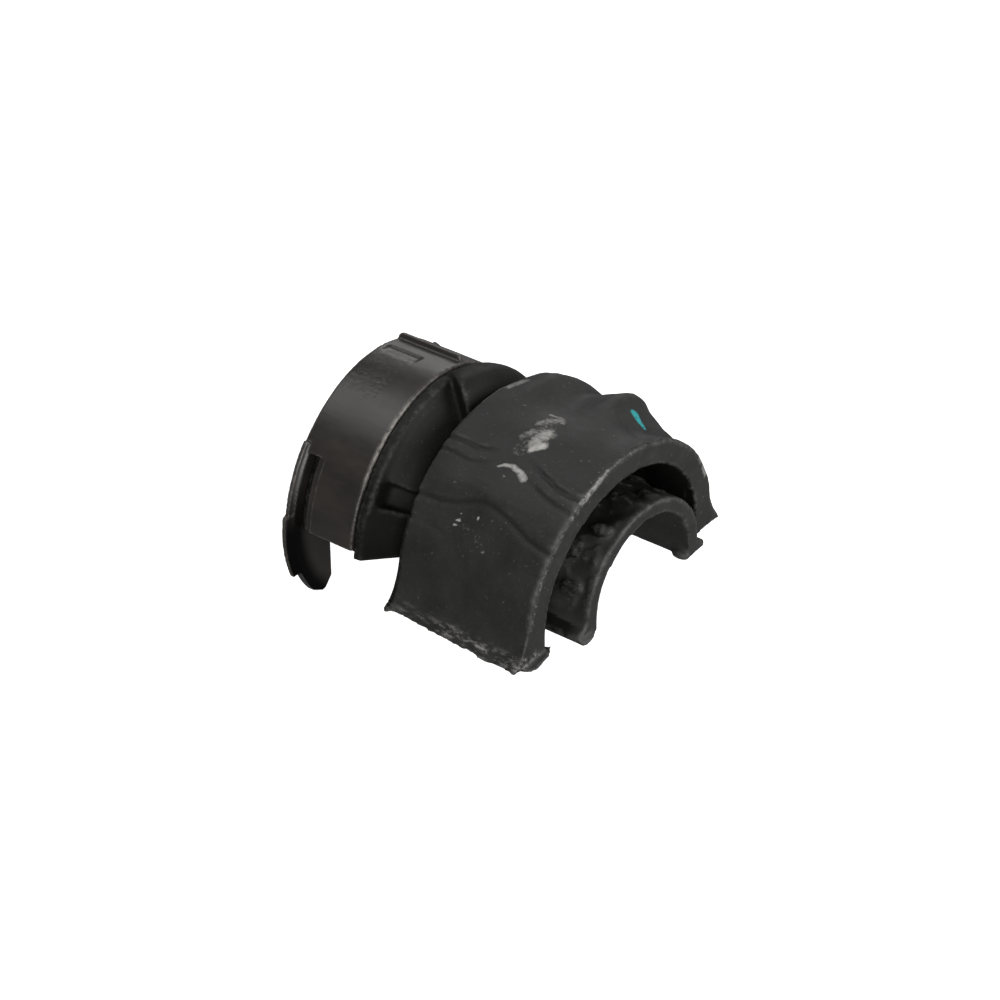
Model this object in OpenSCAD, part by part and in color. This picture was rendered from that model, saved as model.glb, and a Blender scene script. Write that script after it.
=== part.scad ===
// Half of a split sway bar bushing: a wavy rubber sleeve joined by a web to the half ring that
// seats the bar, a rubber neck behind it, and a stiff collar half bonded round the neck's root.
// X runs along the bar towards the sleeve's free face, Z is up, the origin is on the bar's
// centre line at the middle of the sleeve. Angles round the bar start level on the -Y side.

/* [Bar seat] */
// Diameter of the bar
bar_d = 30; // [25:0.5:33]
// Thickness of the half ring that seats the bar
seat_wall = 3.3; // [2.5:0.1:4.2]
// How far the half ring stands out of the sleeve's front face
seat_reach = 4.2; // [2:0.1:8]
// How far the half ring's legs pass the bar's centre line
seat_drop = 3.2; // [1:0.1:4]
// How far the half ring's feet spread outwards
seat_spread = 2.6; // [1:0.1:3.5]

/* [Sleeve] */
// Length of the sleeve along the bar
sleeve_len = 34.2; // [28:0.2:40]
// Open space between the half ring and the sleeve
sleeve_gap = 6.2; // [5:0.1:8]
// Thickness of the sleeve at its front face
sleeve_wall = 5.7; // [4.5:0.1:7]
// How far the sleeve's legs pass the bar's centre line
leg_drop = 4.1; // [4:0.1:6]
// How far the sleeve's feet spread outwards
leg_spread = 3.9; // [1:0.1:5]
// Height over which the feet spread
leg_flare = 9; // [7:0.5:12]
// Height of the swells on the near side, as a share of the drawn height
near_swell = 1; // [0:0.1:1.4]
// Height of the swells on the far side, as a share of the drawn height
far_swell = 1; // [0:0.1:1.2]
// Rounding of the sleeve's end edges
sleeve_round = 0.8; // [0.3:0.1:1.5]
// How far the soft sleeve has turned on its web, seen from above
sleeve_turn = 4.4; // [0:0.2:6]
// Thickness of the web along the bar
web_len = 12; // [8:0.5:16]

/* [Neck] */
// Distance from the sleeve's back face to the collar
neck_len = 13.2; // [12:0.2:16]
// Width of the smooth band next to the collar
band_w = 2.6; // [1.5:0.1:4]
// How far the band lies below the collar's surface
band_step = 0.5; // [0.2:0.1:1]
// Height of the neck's split face above the bar's centre line
neck_lift = 0.7; // [0.3:0.1:1.5]
// Height of the shoulder that swells over the collar's surface
dome_h = 1.3; // [0.5:0.1:2]

/* [Collar] */
// Length of the collar along the bar
collar_len = 16.6; // [15:0.2:22]
// Outer radius of the collar
collar_r = 29.1; // [28.5:0.1:31]
// Thickness of the collar's shell
collar_wall = 2.5; // [1.8:0.1:3.2]
// Height of the shell's edge above the bar's centre line
collar_lift = 2.9; // [2:0.1:4]
// Thickness of the collar's end wall
end_wall = 1.9; // [1.5:0.1:3.2]
// Width of the slot that frees the clip arm from the shell
slot_w = 2.4; // [1.2:0.1:2.6]
// Angle at which the slot ends
slot_top = 38; // [28:1:40]
// How far the clip arms reach below the bar's centre line
arm_drop = 18.9; // [14:0.1:21]
// Size of the bevels at the clip arms' tips
arm_bevel = 2.2; // [0.5:0.1:2.8]
// Width between the clip arms
arm_gap = 34.6; // [34.2:0.1:38]
// Height of the rail outside each clip arm
rail_h = 1.6; // [0.6:0.1:2]
// Height of the rib on the far side of the collar's top
rib_h = 1.3; // [0.6:0.1:2]
// Depth of the bare label field
field_depth = 0.4; // [0.2:0.1:0.8]

/* [Hidden] */
// Space left between the collar and the rubber bonded in it
bond = 0.05;
bar_r = bar_d / 2;
seat_r = bar_r + seat_wall;
sleeve_in = seat_r + sleeve_gap;
sleeve_r = sleeve_in + sleeve_wall;
front_x = sleeve_len / 2;
back_x = -sleeve_len / 2;
ridge_x = back_x - neck_len;
rim_x = ridge_x - collar_len;
wall_x = rim_x + end_wall;
neck_r = collar_r - band_step;
root_r = collar_r - collar_wall - bond;
slot_end_x = wall_x + slot_w;
cut = 1;
fine = 96;
// Angles of the neck's foot block and of the panel above it
block_top = 27.5;
panel_low = 39;
// Plan slope of the shoulder's edge, and where it meets the collar
shoulder_slope = 0.775;
shoulder_y = 5;
// Swells of the sleeve: place along the bar, angle, reach along the bar, reach in degrees, height
near_swells = [
    [-11, 48, 6, 8, 0.9], [10, 50, 6, 8, 0.8], [-1, 72, 9, 12, 1.3],
    [-1, 36, 10, 9, -0.9], [0, 50, 7, 8, 1.2], [-14, 61, 8, 4, 0.7], [14, 61, 8, 4, 0.7]
];
far_swells = [
    [-11.6, 128, 4.3, 26, 3.9], [3.2, 131, 4.9, 19, 4.8], [-3, 104, 5, 12, -1],
    [12.8, 128, 4, 25, -1.6], [13.5, 164, 5, 9, 1.2]
];
rings = 22;
steps = 54;
leg_steps = 5;

// Draws a profile, given as [y, z], as a bar from x0 to x1
module along(x0, x1) {
    translate([x0, 0, 0])
        rotate([90, 0, 90])
            linear_extrude(height = x1 - x0)
                children();
}

// Turns a profile, given as [radius, distance along the bar], round the bar
module turned() {
    rotate([0, 90, 0])
        rotate_extrude($fn = fine)
            children();
}

// Everything below the height z
module below(z, x0, x1) {
    translate([x0, -2 * sleeve_r, z - 3 * sleeve_r])
        cube([x1 - x0, 4 * sleeve_r, 3 * sleeve_r]);
}

// The wedge between two angles round the bar
module wedge(a0, a1, x0, x1) {
    reach = 2 * sleeve_r;
    mid = (a0 + a1) / 2;
    along(x0, x1)
        polygon([
            [0, 0],
            [-reach * cos(a0), reach * sin(a0)],
            [-reach * cos(mid), reach * sin(mid)],
            [-reach * cos(a1), reach * sin(a1)]
        ]);
}

function bump(s, x, a) = s[4] * exp(-pow((x - s[0]) / s[2], 2) - pow((a - s[1]) / s[3], 2));
function total(list, x, a, i = 0) =
    i == len(list) ? 0 : bump(list[i], x, a) + total(list, x, a, i + 1);
// The swells die away at the sleeve's end faces
function ends(x) = 1 - pow(abs(x) / front_x, 10);
function rounding(x) =
    let (d = front_x - abs(x))
    d >= sleeve_round ? 0 : sleeve_round - sqrt(sleeve_round * sleeve_round - pow(sleeve_round - d, 2));
function sleeve_radius(x, a) =
    sleeve_r - rounding(x)
    + ends(x) * (near_swell * total(near_swells, x, a) + far_swell * total(far_swells, x, a));
// Extra width of a foot at the height z
function flare(z) =
    let (t = max(0, (leg_flare - leg_drop - z) / leg_flare))
    leg_spread * t * t;
function sleeve_point(x, a) =
    let (r = sleeve_radius(x, a), y = -r * cos(a), z = r * sin(a))
    [x, y + sign(y) * flare(z), z];
function leg_point(x, side, t) =
    let (z = -leg_drop * t)
    [x, side * (sleeve_radius(x, 0) + flare(z)), z];
function sleeve_row(x) = concat(
    [for (k = [leg_steps:-1:1]) leg_point(x, -1, k / leg_steps)],
    [for (k = [0:steps]) sleeve_point(x, 180 * k / steps)],
    [for (k = [1:leg_steps]) leg_point(x, 1, k / leg_steps)]
);
function ring_x(i) =
    i == 0 ? back_x
    : i == 1 ? back_x + sleeve_round / 3
    : i == rings - 1 ? front_x - sleeve_round / 3
    : i == rings ? front_x
    : back_x + sleeve_round + (sleeve_len - 2 * sleeve_round) * (i - 2) / (rings - 4);

// Solid sleeve outline with its waves
module sleeve_outline() {
    row = steps + 1 + 2 * leg_steps;
    points = [for (i = [0:rings]) each sleeve_row(ring_x(i))];
    skin = [
        for (i = [0:rings - 1])
            for (k = [0:row - 1])
                let (n = (k + 1) % row)
                each [
                    [i * row + k, i * row + n, (i + 1) * row + n],
                    [i * row + k, (i + 1) * row + n, (i + 1) * row + k]
                ]
    ];
    back = [[for (k = [row - 1:-1:0]) k]];
    front = [[for (k = [0:row - 1]) rings * row + k]];
    polyhedron(points = points, faces = concat(skin, back, front), convexity = 6);
}

// Room inside the sleeve
module sleeve_room() {
    along(back_x - cut, front_x + cut) {
        circle(r = sleeve_in, $fn = fine);
        translate([-sleeve_in, -leg_drop - cut])
            square([2 * sleeve_in, leg_drop + cut]);
    }
}

module sleeve() {
    rotate([0, 0, -sleeve_turn])
        difference() {
            sleeve_outline();
            sleeve_room();
        }
}

// Half ring round the bar, with spread feet; its front face is turned with the sleeve's
module seat() {
    foot = seat_spread;
    difference() {
        along(back_x, front_x + 2 * seat_reach) {
            intersection() {
                circle(r = seat_r, $fn = fine);
                translate([-seat_r, 0])
                    square([2 * seat_r, seat_r]);
            }
            for (side = [-1, 1])
                scale([side, 1])
                    polygon([
                        [0, 0],
                        [seat_r, 0],
                        [seat_r + 0.35 * foot, -0.2 * seat_drop],
                        [seat_r + foot, -0.55 * seat_drop],
                        [seat_r + foot, -seat_drop],
                        [0, -seat_drop]
                    ]);
        }
        rotate([0, 0, -sleeve_turn])
            translate([front_x + seat_reach, -2 * sleeve_r, -sleeve_r])
                cube([3 * seat_reach, 4 * sleeve_r, 3 * sleeve_r]);
    }
}

// Web that carries the sleeve on the half ring
module web() {
    along(-web_len / 2, web_len / 2) {
        intersection() {
            circle(r = sleeve_in + cut, $fn = fine);
            translate([-sleeve_in - cut, 0])
                square([2 * (sleeve_in + cut), sleeve_in + cut]);
        }
        translate([-sleeve_in - cut, -seat_drop])
            square([2 * (sleeve_in + cut), seat_drop + 0.01]);
    }
}

// Turned body from a list of [distance from the collar, radius] down to the half ring
module neck_turned(profile) {
    turned()
        polygon(concat(
            [[0, ridge_x + bond], [profile[0][1], ridge_x + bond]],
            [for (p = profile) if (p[0] > 0) [p[1], ridge_x + p[0]]],
            [[0, ridge_x + profile[len(profile) - 1][0]]]
        ));
}

// Neck between the collar and the sleeve, with its foot block, panel, hollow and shoulder
module neck() {
    tip = neck_len - 0.4;
    far = ridge_x + neck_len;
    neck_turned([[0, 24.6], [4.5, 22.4], [neck_len + cut, seat_r - 0.2]]);
    intersection() {
        neck_turned([[0, neck_r], [1.8, neck_r], [8.2, 22.6], [tip, seat_r]]);
        wedge(0, block_top, ridge_x, far);
    }
    intersection() {
        neck_turned([
            [0, neck_r], [band_w, neck_r], [band_w + 0.2, neck_r - 1.2], [9.5, 21.6], [tip, seat_r]
        ]);
        wedge(panel_low, 110, ridge_x, far);
    }
    intersection() {
        neck_turned([
            [0, neck_r], [0.8, neck_r], [2.2, collar_r + 0.55 * dome_h], [4.6, collar_r + 0.95 * dome_h],
            [6.4, collar_r + 0.9 * dome_h], [8.4, collar_r + 0.15 * dome_h], [10.4, collar_r - 2.1],
            [tip, collar_r - 6.6]
        ]);
        translate([ridge_x, shoulder_y, 0])
            linear_extrude(height = 2 * sleeve_r)
                polygon([
                    [0, 0], [neck_len + cut, -shoulder_slope * (neck_len + cut)],
                    [neck_len + cut, 2 * sleeve_r], [0, 2 * sleeve_r]
                ]);
    }
}

// Rubber bonded inside the collar
module root() {
    turned()
        polygon([
            [0, wall_x + bond], [root_r, wall_x + bond],
            [root_r, ridge_x + cut], [0, ridge_x + cut]
        ]);
}

module rubber_body() {
    color("#2b2b2b")
        difference() {
            union() {
                sleeve();
                seat();
                web();
                difference() {
                    union() {
                        neck();
                        root();
                    }
                    below(neck_lift, rim_x, back_x - 0.01);
                    below(-seat_drop, back_x - 0.02, front_x);
                }
            }
            along(rim_x, front_x + 2 * seat_reach + cut)
                circle(r = bar_r, $fn = fine);
            along(rim_x, front_x + 2 * seat_reach + cut)
                translate([-bar_r, -leg_drop - cut])
                    square([2 * bar_r, leg_drop + cut]);
        }
}

// Rail on the outside of each clip arm
module rails() {
    for (side = [0, 1])
        mirror([0, side, 0])
            intersection() {
                turned()
                    polygon([
                        [collar_r - 1, rim_x], [collar_r + rail_h, rim_x],
                        [collar_r + rail_h, rim_x + 1.1], [collar_r - 1, rim_x + 1.8]
                    ]);
                wedge(-21, 10, rim_x - cut, wall_x);
            }
}

// Low flange round the rim above each rail
module flanges() {
    for (side = [0, 1])
        mirror([0, side, 0])
            intersection() {
                turned()
                    polygon([
                        [collar_r - 1, rim_x + 0.1], [collar_r + 0.5 * rail_h, rim_x + 0.1],
                        [collar_r + 0.5 * rail_h, rim_x + 1], [collar_r - 1, rim_x + 1.6]
                    ]);
                wedge(8, 42, rim_x - cut, wall_x);
            }
}

// Shell and horseshoe end wall, whose two arms clip past the bar and are freed by slots
module shell() {
    difference() {
        turned()
            polygon([
                [arm_gap / 2, rim_x], [collar_r, rim_x], [collar_r, ridge_x],
                [collar_r - collar_wall, ridge_x], [collar_r - collar_wall, wall_x],
                [arm_gap / 2, wall_x]
            ]);
        below(collar_lift, wall_x, ridge_x + cut);
        below(-arm_drop, rim_x - cut, wall_x + cut);
        arm_bevels();
        along(rim_x - cut, wall_x + cut)
            translate([-arm_gap / 2, -collar_r])
                square([arm_gap, collar_r]);
        for (side = [0, 1])
            mirror([0, side, 0])
                wedge(-10, slot_top, wall_x, slot_end_x);
        field();
    }
}

// Cuts the corners off the clip arms' tips
module arm_bevels() {
    inner = arm_gap / 2;
    outer = sqrt(collar_r * collar_r - arm_drop * arm_drop);
    along(rim_x - cut, wall_x + cut)
        for (side = [-1, 1])
            scale([side, 1]) {
                polygon([
                    [inner - cut, -arm_drop - cut], [inner + arm_bevel, -arm_drop - cut],
                    [inner + arm_bevel, -arm_drop], [inner, -arm_drop + arm_bevel],
                    [inner - cut, -arm_drop + arm_bevel]
                ]);
                polygon([
                    [outer + 3 * arm_bevel, -arm_drop - cut], [outer - 0.6 * arm_bevel, -arm_drop - cut],
                    [outer - 0.6 * arm_bevel, -arm_drop], [outer + arm_bevel, -arm_drop + arm_bevel],
                    [outer + 3 * arm_bevel, -arm_drop + arm_bevel]
                ]);
            }
}

// Shallow bare field where a label would be
module field() {
    intersection() {
        turned()
            polygon([
                [collar_r - field_depth, wall_x - 0.6], [collar_r + cut, wall_x - 0.6],
                [collar_r + cut, ridge_x - 6.7], [collar_r - field_depth, ridge_x - 6.7]
            ]);
        wedge(66, 101, rim_x, ridge_x);
    }
}

// Low rib along the far side of the collar's top
module top_rib() {
    intersection() {
        turned()
            polygon([
                [collar_r - 0.5, rim_x + 0.05], [collar_r + 0.7 * rib_h, rim_x + 0.05],
                [collar_r + rib_h, rim_x + 0.6], [collar_r + rib_h, ridge_x - 1.2],
                [collar_r - 0.5, ridge_x - 0.4]
            ]);
        wedge(110, 112.6, rim_x, ridge_x);
    }
}

module collar() {
    color("#3c3a39") {
        shell();
        rails();
        flanges();
        top_rib();
    }
}

rubber_body();
collar();
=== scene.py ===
# Half of a split sway bar bushing: moulded rubber sleeve, seat and neck, with a nylon collar
import bpy
import math
import numpy as np
from mathutils import Matrix, Vector, noise


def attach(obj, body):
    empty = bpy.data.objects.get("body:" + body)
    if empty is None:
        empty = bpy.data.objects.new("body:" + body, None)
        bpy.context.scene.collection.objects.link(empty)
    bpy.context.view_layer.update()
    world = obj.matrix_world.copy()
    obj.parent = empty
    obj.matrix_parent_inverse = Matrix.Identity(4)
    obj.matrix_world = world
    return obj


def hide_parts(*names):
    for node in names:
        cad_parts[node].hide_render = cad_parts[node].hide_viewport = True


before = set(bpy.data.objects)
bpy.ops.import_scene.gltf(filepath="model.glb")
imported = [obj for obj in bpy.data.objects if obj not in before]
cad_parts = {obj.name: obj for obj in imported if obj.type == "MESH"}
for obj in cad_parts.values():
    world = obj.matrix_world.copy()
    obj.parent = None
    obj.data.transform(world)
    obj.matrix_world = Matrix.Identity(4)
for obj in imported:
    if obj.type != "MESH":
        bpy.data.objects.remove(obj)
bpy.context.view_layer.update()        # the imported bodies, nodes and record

mm = 0.001

cameraView = {
    "azimuth": 35.1,            # degrees round from the -Y side
    "elevation": 36.6,
    "distance": 600 * mm,       # along the view line to the plane through the aim point
    "aimRight": -11.4 * mm,     # the frame's centre, right of and above the middle of the feet
    "aimUp": 12.4 * mm,
    "footLevel": -4.1 * mm,
    "lens": 105.5,
}


def deselectAll():
    if bpy.context.object and bpy.context.object.mode != "OBJECT":
        bpy.ops.object.mode_set(mode="OBJECT")
    bpy.ops.object.select_all(action="DESELECT")


def activate(piece):
    deselectAll()
    piece.select_set(True)
    bpy.context.view_layer.objects.active = piece


def applyModifiers(piece):
    activate(piece)
    for modifier in list(piece.modifiers):
        bpy.ops.object.modifier_apply(modifier=modifier.name)


# A small lump that the skin is laid over too: its place along the bar (mm), round it (degrees) and
# out from its centre (mm), and its half sizes along, round and out
def makeLump(kind, place, halfSizes):
    deselectAll()
    if kind == "block":
        bpy.ops.mesh.primitive_cube_add(size=2 * mm)
    else:
        bpy.ops.mesh.primitive_ico_sphere_add(radius=mm, subdivisions=3)
    lump = bpy.context.object
    along, angle, out = place
    turn = math.radians(angle)
    lump.scale = halfSizes
    lump.rotation_euler = (math.pi / 2 - turn, 0, 0)
    lump.location = (along * mm, -out * math.cos(turn) * mm, out * math.sin(turn) * mm)
    bpy.ops.object.transform_apply(location=True, rotation=True, scale=True)
    return lump


# The frame's solid is copied, its loose triangles are merged, and an even skin is laid over it
def skinOver(node, name, voxel, rounds, added=()):
    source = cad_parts[node]
    piece = source.copy()
    piece.data = source.data.copy()
    piece.name = piece.data.name = name
    piece.parent = None
    for key in [key for key in piece.keys() if key.startswith("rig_")]:
        del piece[key]
    bpy.context.scene.collection.objects.link(piece)
    piece.data.materials.clear()
    activate(piece)
    bpy.ops.object.mode_set(mode="EDIT")
    bpy.ops.mesh.select_all(action="SELECT")
    bpy.ops.mesh.remove_doubles(threshold=0.00001)
    bpy.ops.mesh.normals_make_consistent(inside=False)
    bpy.ops.object.mode_set(mode="OBJECT")
    for lump in added:
        lump.select_set(True)
    if added:
        piece.select_set(True)
        bpy.context.view_layer.objects.active = piece
        bpy.ops.object.join()
    remesh = piece.modifiers.new("skin", "REMESH")
    remesh.mode = "VOXEL"
    remesh.voxel_size = voxel * mm
    soften = piece.modifiers.new("soften", "SMOOTH")
    soften.factor = 0.5
    soften.iterations = rounds
    applyModifiers(piece)
    return piece


def readPoints(piece, field="co"):
    flat = np.empty(len(piece.data.vertices) * 3, np.float32)
    piece.data.vertices.foreach_get(field, flat)
    return flat.reshape(-1, 3).astype(float)


def writePoints(piece, spots):
    piece.data.vertices.foreach_set("co", spots.astype(np.float32).ravel())
    piece.data.update()


# How far each point stands out from its neighbours: high along a worn edge, low in a crease
def standOut(piece, rounds=2):
    spots = readPoints(piece) / mm
    outward = readPoints(piece, "normal")
    ends = np.empty(len(piece.data.edges) * 2, np.int32)
    piece.data.edges.foreach_get("vertices", ends)
    ends = ends.reshape(-1, 2)
    count = np.bincount(ends.ravel(), minlength=len(spots)).clip(1)

    def neighbourMean(values):
        total = np.zeros_like(values)
        for axis in range(values.shape[1]):
            total[:, axis] = (
                np.bincount(ends[:, 0], values[ends[:, 1], axis], len(spots))
                + np.bincount(ends[:, 1], values[ends[:, 0], axis], len(spots)))
        return total / count[:, None]

    height = -((neighbourMean(spots) - spots) * outward).sum(1, keepdims=True)
    for _ in range(rounds):
        height = (height + neighbourMean(height)) / 2
    return height[:, 0]


def storeValue(piece, name, values):
    layer = piece.data.attributes.new(name, "FLOAT", "POINT")
    layer.data.foreach_set("value", values.astype(np.float32))


def rough(spots, size, depth=3):
    return np.array([noise.fractal(Vector(p / size), 1.0, 2.0, depth) for p in spots])


def step(value, low, high):
    t = np.clip((value - low) / (high - low), 0, 1)
    return t * t * (3 - 2 * t)


rubberValues = {
    "voxel": 0.5,               # mm between the points of the skin
    "turn": 4.4,                # degrees that the sleeve has turned on its web
    "halfLength": 17.1,         # mm, sleeve
    "innerRadius": 24.5,
    "outerRadius": 30.6,
    "legDrop": 4.1,
    "seatRadius": 18.3,
    "backOfNeck": -30.3,
    "unevenness": 0.10,         # mm, slow waves of the outer skin
    "grain": 0.03,              # mm, fine roughness
    "flashBite": 0.5,           # mm, how ragged the flash at the feet is
    "lumpHeight": 1.0,          # mm, torn skin of the half ring
    "liningDepth": 2.2,         # mm of the sleeve's wall that don't count as its outer skin
    "creaseAngles": (15, 165),  # degrees, where the skin can crease
    "swellStart": (106, 124),   # degrees, where the far swells come up
    "swellEnd": (152, 172),     # and where they are gone
    "tornStart": (5.4, 7.0),    # mm along the bar, where the torn skin comes up
    "tornEnd": (19.0, 20.4),
    "tornLow": (0.5, 3.0),      # mm above the bar's centre
    "flashStart": (31.5, 33.8), # mm across, where the feet thin out into flash
    "flashDrop": 1.6,           # mm below the bar's centre
    "gapShadeEnd": (17.6, 20.8),
    "rubbedFrom": (-9.0, 0.0),  # mm along the bar, where the foot is rubbed more
}

# Flakes on the half ring, tags of flash at the feet, and the band beside the collar where it
# crosses the hollow of the neck
rubberLumps = [
    ("round", (16.2, 62, 18.3), (2.3, 1.2, 1.1)),
    ("round", (15.2, 22, 18.5), (2.4, 1.7, 1.0)),
    ("round", (17.4, 107, 18.2), (1.9, 1.7, 0.8)),
    ("round", (16.0, 86, 18.2), (2.6, 2.4, 0.6)),
    ("round", (12.5, 44, 18.3), (2.2, 2.0, 0.8)),
    ("round", (11.0, 128, 18.3), (2.4, 2.0, 0.8)),
    ("round", (20.3, -8.4, 18.8), (0.9, 0.55, 2.6)),
    ("round", (21.8, -172.8, 18.6), (1.0, 1.1, 2.4)),
    ("round", (20.8, -170.5, 15.0), (2.2, 1.1, 1.4)),
    ("round", (15.3, -7.4, 29.0), (1.5, 0.45, 4.8)),
    ("round", (-18.4, -6.0, 33.2), (1.0, 0.6, 1.2)),
] + [("block", (-28.9, angle, 26.0), (1.25, 1.2, 2.45)) for angle in (26, 29, 32, 35, 38, 41)]

# Creases of the sleeve's skin as places along the bar (mm) and round it (degrees from the near
# side), then the groove's depth and half width in mm, and how far the upper side stands up.
# A line fades towards the end named as faint
creases = {
    "upperRear": {"line": [(-17.3, 63.4), (-13.6, 64.1), (-9.6, 63.8), (-8.1, 64.2), (-4.6, 66.6)],
                  "depth": 0.42, "width": 0.40, "lip": 0.20, "faint": "end"},
    "lowerRear": {"line": [(-17.3, 58.2), (-12.5, 58.1), (-9.4, 57.8), (-6.9, 59.1), (-4.6, 61.0)],
                  "depth": 0.24, "width": 0.42, "lip": 0.10, "faint": "end"},
    "upperFront": {"line": [(2.6, 67.8), (5.6, 66.0), (8.8, 64.2), (11.5, 62.7), (14.4, 62.4),
                            (17.3, 63.2)],
                   "depth": 0.46, "width": 0.44, "lip": 0.22, "faint": "start"},
    "lowerFront": {"line": [(3.8, 61.2), (6.9, 59.4), (10.0, 57.7), (12.9, 56.6), (17.3, 56.8)],
                   "depth": 0.32, "width": 0.46, "lip": 0.12, "faint": "start"},
    "longFold": {"line": [(-17.3, 39.0), (-12.8, 39.7), (-10.7, 40.0), (-7.8, 41.6), (-4.4, 44.5),
                          (-1.6, 46.4), (0.9, 46.4), (4.8, 44.9), (7.9, 43.0), (10.9, 41.1),
                          (13.7, 40.2), (17.3, 39.8)],
                 "depth": 0.42, "width": 0.80, "lip": 0.16, "faint": None},
    "stepRear": {"line": [(-17.3, 29.0), (-12.4, 29.4), (-7.6, 29.4)],
                 "depth": 0.16, "width": 0.35, "lip": -0.18, "faint": "end"},
    "stepFront": {"line": [(10.6, 29.2), (14.5, 29.7), (17.3, 30.4)],
                  "depth": 0.16, "width": 0.35, "lip": -0.15, "faint": "start"},
    "farFold": {"line": [(1.6, 119.0), (5.5, 115.0), (9.2, 112.0), (14.4, 109), (17.3, 108)],
                "depth": 0.5, "width": 1.9, "lip": 0.0, "faint": "start"},
}

# Corrections of the far swells' heights: place along the bar, reach and height in mm, then the
# angle round the bar and its reach
farSwells = [(-16.2, 1.2, 0.9, 138, 40), (-11.8, 2.4, -1.6, 130, 13), (-6.4, 2.0, 0.5, 134, 30),
             (-2.0, 2.0, 0.8, 138, 30), (5.2, 2.2, -1.0, 134, 26), (10.8, 1.6, 0.7, 138, 30)]

# Dried release agent, chalk and rubs on the sleeve: the same kind of line, the half width in mm
# at its start and end, and how dense the mark is
chalkMarks = {
    "crescent": {"line": [(-2.8, 60.4), (-1.7, 62.2), (0.1, 63.0), (2.0, 62.3), (3.7, 60.6)],
                 "width": (0.4, 1.35), "dense": 0.88},
    "crescentDot": {"line": [(-0.4, 58.3), (0.0, 57.9)], "width": (0.45, 0.45), "dense": 0.62},
    "patchMiddle": {"line": [(0.7, 74.2), (0.7, 77.6), (0.9, 81.5)], "width": (2.1, 2.9), "dense": 0.80},
    "patchFoot": {"line": [(1.2, 71.6), (2.6, 75.8)], "width": (1.1, 1.5), "dense": 0.98},
    "patchSide": {"line": [(-2.4, 75.6), (-1.6, 80.0)], "width": (1.6, 1.9), "dense": 0.62},
    "patchTop": {"line": [(-2.7, 85.6), (-1.9, 89.0), (-0.5, 92.0)], "width": (1.7, 1.9), "dense": 0.64},
    "patchRim": {"line": [(-3.4, 93.6), (-0.6, 94.6), (0.9, 91.4)], "width": (0.8, 0.8), "dense": 0.70},
    "patchHalo": {"line": [(-0.8, 70.0), (0.6, 80.0), (-1.2, 90.0)], "width": (3.9, 3.6), "dense": 0.44},
    "rearPatch": {"line": [(-15.6, 97.0), (-14.6, 104.0)], "width": (1.4, 1.9), "dense": 0.72},
    "rearRub": {"line": [(-16.7, 84.0), (-16.9, 104.0)], "width": (0.7, 0.7), "dense": 0.66},
    "rearEdge": {"line": [(-17.1, 24.0), (-17.1, 84.0)], "width": (0.5, 0.5), "dense": 0.50},
    "frontRub": {"line": [(17.0, 62.5), (16.9, 72.0), (16.7, 80.0)], "width": (0.7, 0.5), "dense": 0.60},
    "frontRubLow": {"line": [(17.0, 36.0), (17.0, 50.0), (17.0, 62.5)], "width": (0.5, 0.6), "dense": 0.44},
    "frontRubTop": {"line": [(16.8, 80.0), (16.8, 104.0)], "width": (0.5, 0.5), "dense": 0.44},
    "frontFoot": {"line": [(17.0, 8.0), (17.0, 34.0)], "width": (0.5, 0.6), "dense": 0.44},
    "farCorner": {"line": [(16.4, 148.0), (16.6, 160.0)], "width": (1.0, 1.3), "dense": 0.72},
    "dotA": {"line": [(-5.8, 36.0), (-5.5, 36.3)], "width": (0.42, 0.42), "dense": 1.1},
    "dotB": {"line": [(-5.8, 38.6), (-5.6, 38.9)], "width": (0.30, 0.30), "dense": 0.9},
    "dotC": {"line": [(-6.4, 33.6), (-5.7, 34.2)], "width": (0.36, 0.36), "dense": 0.9},
    "dotD": {"line": [(-1.7, 39.6), (-1.4, 40.9)], "width": (0.36, 0.25), "dense": 1.15},
    "dotE": {"line": [(1.6, 41.5), (1.7, 41.7)], "width": (0.75, 0.75), "dense": 0.52},
    "dotF": {"line": [(2.4, 29.4), (2.5, 29.6)], "width": (0.35, 0.35), "dense": 0.9},
    "dotG": {"line": [(7.3, 39.2), (7.4, 39.3)], "width": (0.28, 0.28), "dense": 0.8},
    "scatter": {"line": [(-5.8, 35.4), (-1.0, 33.5), (1.8, 30.0)], "width": (1.6, 2.2), "dense": 0.42},
}
paintMark = {"line": [(7.2, 120.6), (8.8, 119.6), (11.0, 118.4)], "width": (1.1, 0.4), "dense": 1.1}


# Places on the sleeve: along the bar, angle from the near side, and distance from the bar's centre
def sleevePlaces(spots):
    turn = math.radians(rubberValues["turn"])
    along = spots[:, 0] * math.cos(turn) - spots[:, 1] * math.sin(turn)
    across = spots[:, 0] * math.sin(turn) + spots[:, 1] * math.cos(turn)
    angle = np.degrees(np.arctan2(spots[:, 2], -across))
    return along, across, angle, np.hypot(across, spots[:, 2])


# Distance in mm to a line drawn on the sleeve, the share of the line passed, and the side of it
def nearLine(along, angle, line):
    arc = math.radians(1) * rubberValues["outerRadius"]
    ends = np.array(line, float) * [1, arc]
    lengths = np.hypot(*(ends[1:] - ends[:-1]).T)
    passed = np.concatenate([[0], np.cumsum(lengths)]) / lengths.sum()
    nearest = np.full(len(along), 1e9)
    share = np.zeros(len(along))
    side = np.ones(len(along))
    for i in range(len(ends) - 1):
        run = ends[i + 1] - ends[i]
        off = np.column_stack([along, angle * arc]) - ends[i]
        t = np.clip((off @ run) / (run @ run), 0, 1)
        gap = off - t[:, None] * run
        distance = np.hypot(*gap.T)
        closer = distance < nearest
        nearest[closer] = distance[closer]
        share[closer] = (passed[i] + t * (passed[i + 1] - passed[i]))[closer]
        side[closer] = np.sign(run[0] * off[:, 1] - run[1] * off[:, 0])[closer]
    return nearest, share, side


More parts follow.
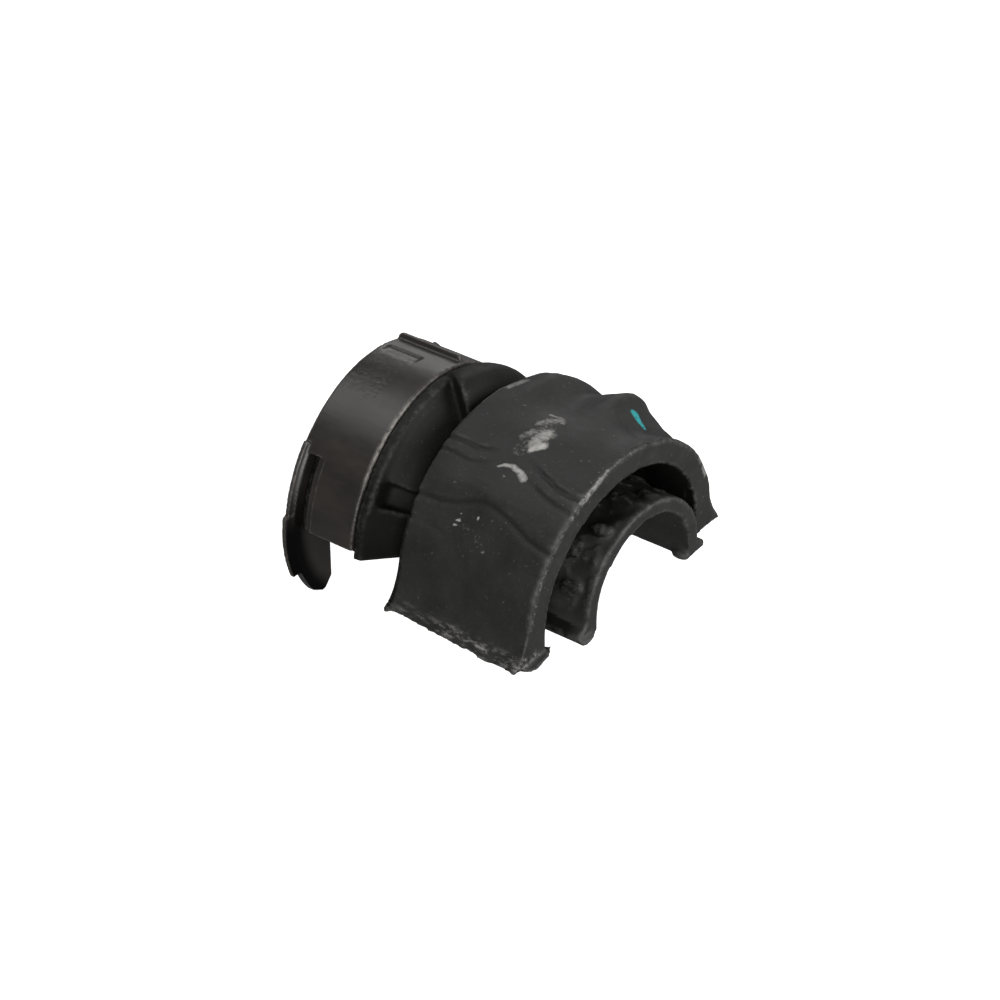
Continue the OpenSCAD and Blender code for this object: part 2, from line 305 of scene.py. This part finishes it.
def creaseHeight(along, angle):
    height = np.zeros(len(along))
    for crease in creases.values():
        distance, share, side = nearLine(along, angle, crease["line"])
        strength = {"end": step(1 - share, 0.0, 0.35), "start": step(share, 0.0, 0.35)}.get(
            crease["faint"], 1.0)
        groove = crease["depth"] * np.exp(-(distance / crease["width"]) ** 2)
        # The skin above the line rolls over it and sinks back within a few mm
        lip = crease["lip"] * np.exp(-((distance - 0.7) / 1.3) ** 2) * (side > 0)
        height += strength * (lip - groove)
    return height


def markDensity(along, angle, marks):
    density = np.zeros(len(along))
    for mark in marks:
        distance, share, _ = nearLine(along, angle, mark["line"])
        width = mark["width"][0] + (mark["width"][1] - mark["width"][0]) * share
        inside = mark["dense"] * (1 - step(distance / width, 0.15, 1.3))
        density = np.maximum(density, inside)
    return density


# Edges of the neck's blocks are soft in the moulding
def softenNeck(piece):
    v = rubberValues
    spots = readPoints(piece) / mm
    neck = np.where((spots[:, 0] < -v["halfLength"] - 1.2) & (spots[:, 0] > v["backOfNeck"] + 0.4))[0]
    group = piece.vertex_groups.new(name="neck")
    group.add(neck.tolist(), 1.0, "REPLACE")
    soften = piece.modifiers.new("softNeck", "SMOOTH")
    soften.factor = 0.5
    soften.iterations = 9
    soften.vertex_group = "neck"
    applyModifiers(piece)
    piece.vertex_groups.clear()


# The piece may not pass the sizes of its solid
def keepInside(spots, node):
    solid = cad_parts[node]
    corners = np.array([solid.matrix_world @ Vector(corner) for corner in solid.bound_box])
    return np.clip(spots, corners.min(0) / mm, corners.max(0) / mm)


# Ragged flash along the feet: the thin outer edge wanders in and out, and up and down
def raggedFlash(spots, along, across, outside):
    v = rubberValues
    low = outside * step(-spots[:, 2], v["flashDrop"], v["legDrop"])
    edge = low * step(np.abs(across), *v["flashStart"])
    wander = rough(spots * [1, 0, 0] + [3, 7, 1], 3.4, 4)
    spots[:, 1] -= np.sign(across) * edge * v["flashBite"] * (wander + 0.2)
    spots[:, 2] += edge * 0.35 * np.clip(rough(spots + [9, 0, 0], 1.4, 3) + 0.1, 0, 1)
    atEnd = low * step(np.abs(along), v["halfLength"] - 1.0, v["halfLength"])
    spots[:, 0] -= np.sign(along) * atEnd * 0.5 * np.clip(rough(spots + [0, 4, 2], 1.2, 3) + 0.2, 0, 1)
    return spots


# What the rubber's material reads at each point of the moulding, each from 0 to 1
def storeRubberWear(piece, spots, sleevePlace, outside):
    v = rubberValues
    along, across, angle, radius = sleevePlace
    storeValue(piece, "wear", np.clip(standOut(piece) / 0.05, -1, 1))
    rimmost = outside * step(radius, 28.0, 29.0)
    storeValue(piece, "chalk", markDensity(along, angle, chalkMarks.values()) * rimmost)
    # Painted shade: the skin is darkened along the grooves of the creases
    dark = sum(crease["depth"] * np.exp(-(nearLine(along, angle, crease["line"])[0] / 0.45) ** 2)
               for name, crease in creases.items() if name != "farFold")
    storeValue(piece, "crease", np.clip(dark * 2.6, 0, 1) * rimmost)
    storeValue(piece, "paint", markDensity(along, angle, [paintMark]) * outside)
    # Rubs along the near foot are strongest towards its front end
    depth = -spots[:, 2]
    nearFoot = outside * (across < 0) * step(depth, 0.6, 2.2) * (1 - 0.8 * step(depth, 3.3, 3.9)) \
        * (0.3 + 0.7 * step(along, *v["rubbedFrom"]))
    storeValue(piece, "scuffedAndHighlight", nearFoot)
    # Painted shade, with some dirt: darker in the gap inside the sleeve round the half ring, and over the
    # neck, most on its lower near side
    gap = (radius > v["seatRadius"] - 0.6) * (radius < v["innerRadius"] + 0.4) \
        * (along > -v["halfLength"] + 0.4) * (1 - step(along, *v["gapShadeEnd"]))
    neck = (spots[:, 0] < -v["halfLength"] - 1.0) * (0.7 + 0.3 * (1 - step(angle, 20, 45)))
    storeValue(piece, "paintedShadeAndDirt", np.maximum(gap, neck))


def makeRubber():
    print("stage: rubber moulding")
    v = rubberValues
    lumps = [makeLump(*lump) for lump in rubberLumps]
    piece = skinOver("rubber_body", "rubberMoulding", v["voxel"], 2, lumps)
    softenNeck(piece)
    spots = readPoints(piece) / mm
    outward = readPoints(piece, "normal")
    sleevePlace = sleevePlaces(spots)
    along, across, angle, radius = sleevePlace
    outermost = v["innerRadius"] + v["liningDepth"]
    outside = ((radius > outermost) & (spots[:, 2] > 0)
               | (np.abs(across) > outermost) & (spots[:, 2] <= 0)) \
        & (np.abs(along) < v["halfLength"] + 0.3)
    skin = outside * step(v["halfLength"] - np.abs(along), -0.25, 0.35)

    creaseFrom, creaseTo = v["creaseAngles"]
    push = creaseHeight(along, angle) * skin * (angle > creaseFrom) * (angle < creaseTo)
    far = step(angle, *v["swellStart"]) * (1 - step(angle, *v["swellEnd"])) * skin
    for place, reach, height, middle, spread in farSwells:
        push += far * height * np.exp(-((along - place) / reach) ** 2 - ((angle - middle) / spread) ** 2)
    push += v["unevenness"] * rough(spots, 6.0, 2) * skin
    push += v["grain"] * rough(spots, 1.5, 2)

    # Torn skin on the half ring: soft lumps with a few sharp edged flakes
    barRadius = np.hypot(spots[:, 1], spots[:, 2])
    torn = step(barRadius, v["seatRadius"] - 0.5, v["seatRadius"] + 0.1) \
        * (barRadius < v["innerRadius"] - 1.2) * step(spots[:, 2], *v["tornLow"]) \
        * step(along, *v["tornStart"]) * (1 - step(along, *v["tornEnd"]))
    flakes = step(rough(spots + [0, 5, 11], 3.6, 2), 0.10, 0.20)
    soft = 0.8 * np.clip(rough(spots, 4.6, 1), -0.7, 0.8)
    push += torn * v["lumpHeight"] * (soft + 0.35 * flakes - 0.2)
    spots = spots + outward * push[:, None]
    spots = raggedFlash(spots, along, across, outside)
    spots = keepInside(spots, "rubber_body")
    writePoints(piece, spots * mm)

    storeRubberWear(piece, spots, sleevePlace, outside)
    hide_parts("rubber_body")
    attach(piece, "root")
    activate(piece)
    bpy.ops.object.shade_smooth()
    print("triangles", sum(len(face.vertices) - 2 for face in piece.data.polygons))
    return piece


collarValues = {
    "voxel": 0.3,               # mm between the points of the skin
    "ridge": -30.3,             # mm along the bar
    "rim": -46.9,
    "radius": 29.1,
    "ledgeFrom": -42.6,         # mm, the lowered ledge beside the slot
    "ledgeTo": -41.2,
    "ledgeDepth": 0.25,
    "slotTop": 38,              # degrees from the near side
    "fieldAngles": (66, 101),   # degrees, the bare label field
    "fieldPlaces": (-46.3, -37.0),
    "armReach": 3.2,            # mm from the rim
    "armShadeRadii": (24.0, 27.5),    # mm from the bar's centre, where the painted shade and dirt begin and are full
    "armShadeTop": 14,           # mm above the bar's centre, where it ends
}


def makeCollar():
    print("stage: collar")
    v = collarValues
    piece = skinOver("collar", "nylonCollar", v["voxel"], 4)
    spots = readPoints(piece) / mm
    outward = readPoints(piece, "normal")
    angle = np.degrees(np.arctan2(spots[:, 2], -spots[:, 1]))
    radius = np.hypot(spots[:, 1], spots[:, 2])
    upper = np.minimum(angle, 180 - angle)
    onShell = radius > v["radius"] - 0.7
    ledge = onShell * (1 - step(spots[:, 0], v["ledgeTo"] - 0.15, v["ledgeTo"] + 0.15)) \
        * (spots[:, 0] > v["ledgeFrom"] - 0.3) * (upper < v["slotTop"]) * (upper > 0)
    push = 0.025 * rough(spots, 5.0, 2) - v["ledgeDepth"] * ledge
    low, high = v["fieldAngles"]
    start, stop = v["fieldPlaces"]
    field = onShell * step(angle, low, low + 1) * (1 - step(angle, high - 1, high)) \
        * step(spots[:, 0], start, start + 0.5) * (1 - step(spots[:, 0], stop - 0.5, stop))
    push += 0.05 * field * rough(spots, 0.7, 2)
    # The field's floor runs out into the shell everywhere but at its far edge
    near = onShell * step(angle, low - 3, low - 1.5) * step(high - angle, 1.5, 8) \
        * step(spots[:, 0], start - 0.4, start + 0.2) * (1 - step(spots[:, 0], stop + 0.7, stop + 1.5))
    lift = near * (radius > v["radius"] - 0.9) * (v["radius"] - radius)
    fromAxis = np.column_stack([np.zeros(len(spots)), spots[:, 1] / radius, spots[:, 2] / radius])
    spots = keepInside(spots + outward * push[:, None] + fromAxis * lift[:, None], "collar")
    writePoints(piece, spots * mm)
    wear = standOut(piece)
    storeValue(piece, "wear", np.clip(wear / 0.03, -1, 1) * (1 - near))
    # Painted shade, with some dirt, on the inside of the arms beside their rails
    arm = (spots[:, 0] < v["rim"] + v["armReach"]) * step(radius, *v["armShadeRadii"]) \
        * (1 - 0.9 * step(spots[:, 2], 0, v["armShadeTop"]))
    storeValue(piece, "paintedShadeAndDirt", arm * step(outward[:, 0], 0.2, 0.8))
    # The edge next to the rubber is rubbed, and lightened further as a painted highlight, most where it
    # faces up and outwards
    ridge = onShell * step(spots[:, 0], v["ridge"] - 0.9, v["ridge"] - 0.1)
    storeValue(piece, "scuffedAndHighlight", ridge * step(angle, 28, 42) * (1 - 0.75 * step(angle, 62, 84)))
    storeValue(piece, "field", field)
    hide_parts("collar")
    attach(piece, "root")
    activate(piece)
    bpy.ops.object.shade_smooth()
    print("triangles", sum(len(face.vertices) - 2 for face in piece.data.polygons))
    return piece


def toLinear(hexColour):
    channels = [int(hexColour[i:i + 2], 16) / 255 for i in (1, 3, 5)]
    return [c / 12.92 if c <= 0.04045 else ((c + 0.055) / 1.055) ** 2.4 for c in channels] + [1.0]


# Adds a node; a value that is a socket becomes a link
def addNode(tree, kind, settings=None, **sockets):
    node = tree.nodes.new(kind)
    for name, value in (settings or {}).items():
        setattr(node, name, value)
    for name, value in sockets.items():
        numbered = name[0] == "i" and name[1:].isdigit()
        socket = node.inputs[int(name[1:]) if numbered else name.replace("_", " ")]
        if isinstance(value, bpy.types.NodeSocket):
            tree.links.new(value, socket)
        else:
            socket.default_value = value
    return node


def newMaterial(name):
    material = bpy.data.materials.new(name)
    material.use_nodes = True
    material.node_tree.nodes.clear()
    return material, material.node_tree


def cameraAxes():
    a = math.radians(cameraView["azimuth"])
    e = math.radians(cameraView["elevation"])
    back = Vector((math.sin(a) * math.cos(e), -math.cos(a) * math.cos(e), math.sin(e)))
    right = Vector((math.cos(a), math.sin(a), 0))
    return back, right, back.cross(right)


def cameraPlace():
    back, right, up = cameraAxes()
    v = cameraView
    return (back * v["distance"] + right * v["aimRight"] + up * v["aimUp"]
            + Vector((0, 0, v["footLevel"])))


# Noise patterns of the rubber: grain in mm, detail, roughness, the values that give none and all
# of it, and its strength. The dust's grains are drawn coarser than their real 0.4 mm
rubberPatterns = {
    "mottle": (7, 6.0, 0.6, 0.34, 0.66, 1.0),
    "dust": (0.8, 3.0, 0.7, 0.55, 0.75, 0.35),
    "rub": (1.6, 5.0, 0.7, 0.40, 0.62, 0.40),
    "scrape": (0.9, 5.0, 0.7, 0.50, 0.68, 0.8),
    "grains": (0.75, 5.0, 0.72, 0.0, 1.0, 1.0),
    "smear": (1.2, 3.0, 0.6, 0.30, 0.45, 1.0),
    "specks": (0.7, 2.0, 0.5, 0.69, 0.76, 0.45),
}
# Values stored on the moulding: those that give none and all of each
rubberStored = {
    "paintedShadeAndDirt": (0.0, 1.0),
    "wear": (0.22, 0.9),
    "crease": (0.05, 1.0),
    "scuffedAndHighlight": (0.0, 1.0),
    "chalk": (0.02, 0.2),
    "paint": (0.25, 0.7),
}


# Vulcanised rubber, compression moulded: near black and matt, bloomed with a dusty film, its
# edges rubbed grey, with dried release agent left in patches
def mouldedRubber(piece):
    material, tree = newMaterial("moulded rubber")
    coordinates = addNode(tree, "ShaderNodeTexCoord").outputs["Object"]
    # Scrapes run along the feet
    stretched = addNode(tree, "ShaderNodeMapping", {"vector_type": "POINT"},
                        Vector=coordinates, Scale=(0.3, 1.0, 1.0)).outputs[0]
    pattern = {}
    for name, (grain, detail, roughness, low, high, top) in rubberPatterns.items():
        texture = addNode(tree, "ShaderNodeTexNoise", None,
                          Vector=stretched if name == "scrape" else coordinates,
                          Scale=1 / (grain * mm), Detail=detail, Roughness=roughness)
        pattern[name] = addNode(tree, "ShaderNodeMapRange", None, Value=texture.outputs[0],
                                From_Min=low, From_Max=high, To_Max=top).outputs[0]
    raw, stored = {}, {}
    for name, (low, high) in rubberStored.items():
        raw[name] = addNode(tree, "ShaderNodeAttribute", {"attribute_name": name}).outputs["Fac"]
        stored[name] = addNode(tree, "ShaderNodeMapRange", None, Value=raw[name],
                               From_Min=low, From_Max=high).outputs[0]
    # Powder lies in grains, thinner towards the rim of each mark
    heap = addNode(tree, "ShaderNodeMath", {"operation": "ADD"}, i0=raw["chalk"], i1=pattern["grains"])
    powder = addNode(tree, "ShaderNodeMapRange", None, Value=heap.outputs[0], From_Min=0.94,
                     From_Max=1.52, To_Max=0.90).outputs[0]

    # Each film in turn: its colour and the two shares that are multiplied
    films = [
        ("#262625", pattern["mottle"], 1.0),
        ("#3b3a38", pattern["dust"], 1.0),
        ("#73716c", pattern["specks"], 1.0),
        # painted shade, with some dirt, in the gap round the half ring and over the neck
        ("#10110e", stored["paintedShadeAndDirt"], 0.85),
        ("#5f5e5b", stored["wear"], pattern["rub"]),
        # painted shade in the creases
        ("#0e0e0d", stored["crease"], 0.6),
        ("#9d9b97", stored["scuffedAndHighlight"], pattern["scrape"]),
        ("#bcbab6", stored["chalk"], powder),
        ("#2a9a9d", stored["paint"], pattern["smear"]),
    ]
    colour = toLinear("#1c1c1b")
    for hexColour, first, second in films:
        share = addNode(tree, "ShaderNodeMath", {"operation": "MULTIPLY"}, i0=first, i1=second)
        colour = addNode(tree, "ShaderNodeMix", {"data_type": "RGBA"}, Factor=share.outputs[0],
                         i6=colour, i7=toLinear(hexColour)).outputs[2]

    fine = addNode(tree, "ShaderNodeTexNoise", None, Vector=coordinates,
                   Scale=1 / (0.5 * mm), Detail=4.0, Roughness=0.6).outputs[0]
    bump = addNode(tree, "ShaderNodeBump", None, Height=fine, Strength=0.3, Distance=0.1 * mm)
    sheen = addNode(tree, "ShaderNodeMapRange", None, Value=pattern["mottle"], To_Min=0.54,
                    To_Max=0.68).outputs[0]
    # Painted shade, with some dirt: where the skin is darkened it also shines less
    gloss = addNode(tree, "ShaderNodeMapRange", None, Value=stored["paintedShadeAndDirt"], To_Min=0.5,
                    To_Max=0.1).outputs[0]
    shader = addNode(tree, "ShaderNodeBsdfPrincipled", None, Base_Color=colour, Roughness=sheen,
                     IOR=1.52, Specular_IOR_Level=gloss, Normal=bump.outputs[0])
    addNode(tree, "ShaderNodeOutputMaterial", None, Surface=shader.outputs[0])
    piece.data.materials.append(material)


# Glass-filled nylon, injection moulded: brown-black with a satin skin and faint flow streaks
def mouldedNylon(piece):
    material, tree = newMaterial("moulded nylon")
    coordinates = addNode(tree, "ShaderNodeTexCoord").outputs["Object"]
    stretched = addNode(tree, "ShaderNodeMapping", {"vector_type": "POINT"},
                        Vector=coordinates, Scale=(0.35, 1.0, 1.0)).outputs[0]
    flow = addNode(tree, "ShaderNodeTexNoise", None, Vector=stretched,
                   Scale=1 / (5 * mm), Detail=6.0, Roughness=0.65).outputs[0]
    flowMix = addNode(tree, "ShaderNodeMapRange", None, Value=flow, From_Min=0.34, From_Max=0.68).outputs[0]
    base = addNode(tree, "ShaderNodeMix", {"data_type": "RGBA"}, Factor=flowMix,
                   i6=toLinear("#24211f"), i7=toLinear("#322d2a")).outputs[2]
    # Grains of the bare label field, about 0.5 mm
    speck = addNode(tree, "ShaderNodeTexNoise", None, Vector=coordinates,
                    Scale=1 / (0.9 * mm), Detail=4.0, Roughness=0.7).outputs[0]
    speckMix = addNode(tree, "ShaderNodeMapRange", None, Value=speck, From_Min=0.50, From_Max=0.68,
                       To_Max=0.38).outputs[0]
    field = addNode(tree, "ShaderNodeAttribute", {"attribute_name": "field"}).outputs["Fac"]
    fieldMix = addNode(tree, "ShaderNodeMath", {"operation": "MULTIPLY"}, i0=speckMix, i1=field).outputs[0]
    worn = addNode(tree, "ShaderNodeMix", {"data_type": "RGBA"}, Factor=fieldMix,
                   i6=base, i7=toLinear("#4b4641")).outputs[2]
    rub = addNode(tree, "ShaderNodeTexNoise", None, Vector=coordinates,
                  Scale=1 / (1.2 * mm), Detail=5.0, Roughness=0.7).outputs[0]
    rubMix = addNode(tree, "ShaderNodeMapRange", None, Value=rub, From_Min=0.34, From_Max=0.60).outputs[0]
    wear = addNode(tree, "ShaderNodeAttribute", {"attribute_name": "wear"}).outputs["Fac"]
    edge = addNode(tree, "ShaderNodeMapRange", None, Value=wear, From_Min=0.2, From_Max=0.9,
                   To_Max=0.35).outputs[0]
    # Painted highlight along the collar's rubbed ridge
    scuffedAndHighlight = addNode(tree, "ShaderNodeAttribute", {"attribute_name": "scuffedAndHighlight"}).outputs["Fac"]
    bright = addNode(tree, "ShaderNodeMath", {"operation": "MULTIPLY"}, i0=scuffedAndHighlight, i1=0.85).outputs[0]
    both = addNode(tree, "ShaderNodeMath", {"operation": "MAXIMUM"}, i0=edge, i1=bright).outputs[0]
    rubbed = addNode(tree, "ShaderNodeMath", {"operation": "MULTIPLY"}, i0=both, i1=rubMix).outputs[0]
    colour = addNode(tree, "ShaderNodeMix", {"data_type": "RGBA"}, Factor=rubbed,
                     i6=worn, i7=toLinear("#8f8b86")).outputs[2]
    # Painted shade, with some dirt, on the insides of the arms; there the nylon also shines less
    shadeDirtFactor = addNode(tree, "ShaderNodeAttribute", {"attribute_name": "paintedShadeAndDirt"}).outputs["Fac"]
    colour = addNode(tree, "ShaderNodeMix", {"data_type": "RGBA"}, Factor=shadeDirtFactor,
                     i6=colour, i7=toLinear("#0b0a0a")).outputs[2]
    gloss = addNode(tree, "ShaderNodeMapRange", None, Value=shadeDirtFactor, To_Min=0.5, To_Max=0.05).outputs[0]
    sheen = addNode(tree, "ShaderNodeMapRange", None, Value=flow, From_Min=0.3, From_Max=0.7,
                    To_Min=0.32, To_Max=0.44).outputs[0]
    fine = addNode(tree, "ShaderNodeTexNoise", None, Vector=coordinates,
                   Scale=1 / (0.4 * mm), Detail=3.0, Roughness=0.55).outputs[0]
    bump = addNode(tree, "ShaderNodeBump", None, Height=fine, Strength=0.18, Distance=0.05 * mm)
    shader = addNode(tree, "ShaderNodeBsdfPrincipled", None, Base_Color=colour, Roughness=sheen,
                     IOR=1.53, Specular_IOR_Level=gloss, Normal=bump.outputs[0])
    addNode(tree, "ShaderNodeOutputMaterial", None, Surface=shader.outputs[0])
    piece.data.materials.append(material)


def makeCamera():
    print("stage: camera")
    back, right, up = cameraAxes()
    camera = bpy.data.objects.new("camera", bpy.data.cameras.new("camera"))
    bpy.context.scene.collection.objects.link(camera)
    camera.data.lens = cameraView["lens"]
    camera.data.sensor_width = 36
    camera.data.clip_start = 0.05
    camera.data.clip_end = 10
    turn = Matrix((right, up, back)).transposed()
    camera.matrix_world = Matrix.Translation(cameraPlace()) @ turn.to_4x4()
    bpy.context.scene.camera = camera


studio = {
    "floorLevel": -18.95 * mm,
    "floorWidth": 6.0,
    "worldLight": 0.15,
    "keyPower": 2.3,
    "fillPower": 7.2,
    "frontPower": 9.0,
    "rimPower": 1.3,
    "floorGlow": 0.80,
}


def addLamp(name, place, width, power):
    lamp = bpy.data.lights.new(name, "AREA")
    lamp.shape = "DISK"
    lamp.size = width
    lamp.energy = power
    holder = bpy.data.objects.new(name, lamp)
    bpy.context.scene.collection.objects.link(holder)
    holder.location = place
    holder.rotation_euler = (Vector(place) * -1).to_track_quat("-Z", "Y").to_euler()


# White to the camera, with a faint shadow; less white to the light that it throws back
def whiteFloor():
    material, tree = newMaterial("white paper")
    seen = addNode(tree, "ShaderNodeLightPath").outputs["Is Camera Ray"]
    paper = addNode(tree, "ShaderNodeBsdfDiffuse", None, Color=toLinear("#f2f2f2"))
    glow = addNode(tree, "ShaderNodeEmission", None, Color=(1, 1, 1, 1), Strength=studio["floorGlow"])
    bright = addNode(tree, "ShaderNodeAddShader", None, i0=paper.outputs[0], i1=glow.outputs[0])
    dull = addNode(tree, "ShaderNodeBsdfDiffuse", None, Color=toLinear("#8a8a8a"))
    both = addNode(tree, "ShaderNodeMixShader", None, Fac=seen, i1=dull.outputs[0], i2=bright.outputs[0])
    addNode(tree, "ShaderNodeOutputMaterial", None, Surface=both.outputs[0])
    return material


def makeStudio():
    print("stage: floor, lamps and world")
    deselectAll()
    bpy.ops.mesh.primitive_plane_add(size=studio["floorWidth"],
                                     location=(0, 0, studio["floorLevel"]))
    floor = bpy.context.object
    floor.name = "floor"
    bpy.ops.object.transform_apply(location=True, rotation=False, scale=False)
    floor.data.materials.append(whiteFloor())
    addLamp("key", (-0.45, -0.05, 0.9), 0.6, studio["keyPower"])
    addLamp("fill", (0.6, -0.8, 0.4), 0.7, studio["fillPower"])
    addLamp("front", (0.95, 0.3, 0.5), 0.7, studio["frontPower"])
    addLamp("back", (-0.45, 0.9, 0.4), 0.5, studio["rimPower"])
    world = bpy.data.worlds.new("white room")
    bpy.context.scene.world = world
    world.use_nodes = True
    tree = world.node_tree
    tree.nodes.clear()
    rays = addNode(tree, "ShaderNodeLightPath").outputs
    light = addNode(tree, "ShaderNodeBackground", None, Color=(1, 1, 1, 1),
                    Strength=studio["worldLight"])
    white = addNode(tree, "ShaderNodeBackground", None, Color=(1, 1, 1, 1), Strength=1.0)
    mix = addNode(tree, "ShaderNodeMixShader", None, Fac=rays["Is Camera Ray"],
                  i1=light.outputs[0], i2=white.outputs[0])
    addNode(tree, "ShaderNodeOutputWorld", None, Surface=mix.outputs[0])


makeCamera()
rubber = makeRubber()
collar = makeCollar()
mouldedRubber(rubber)
mouldedNylon(collar)
makeStudio()
bpy.context.scene.view_settings.view_transform = "Standard"
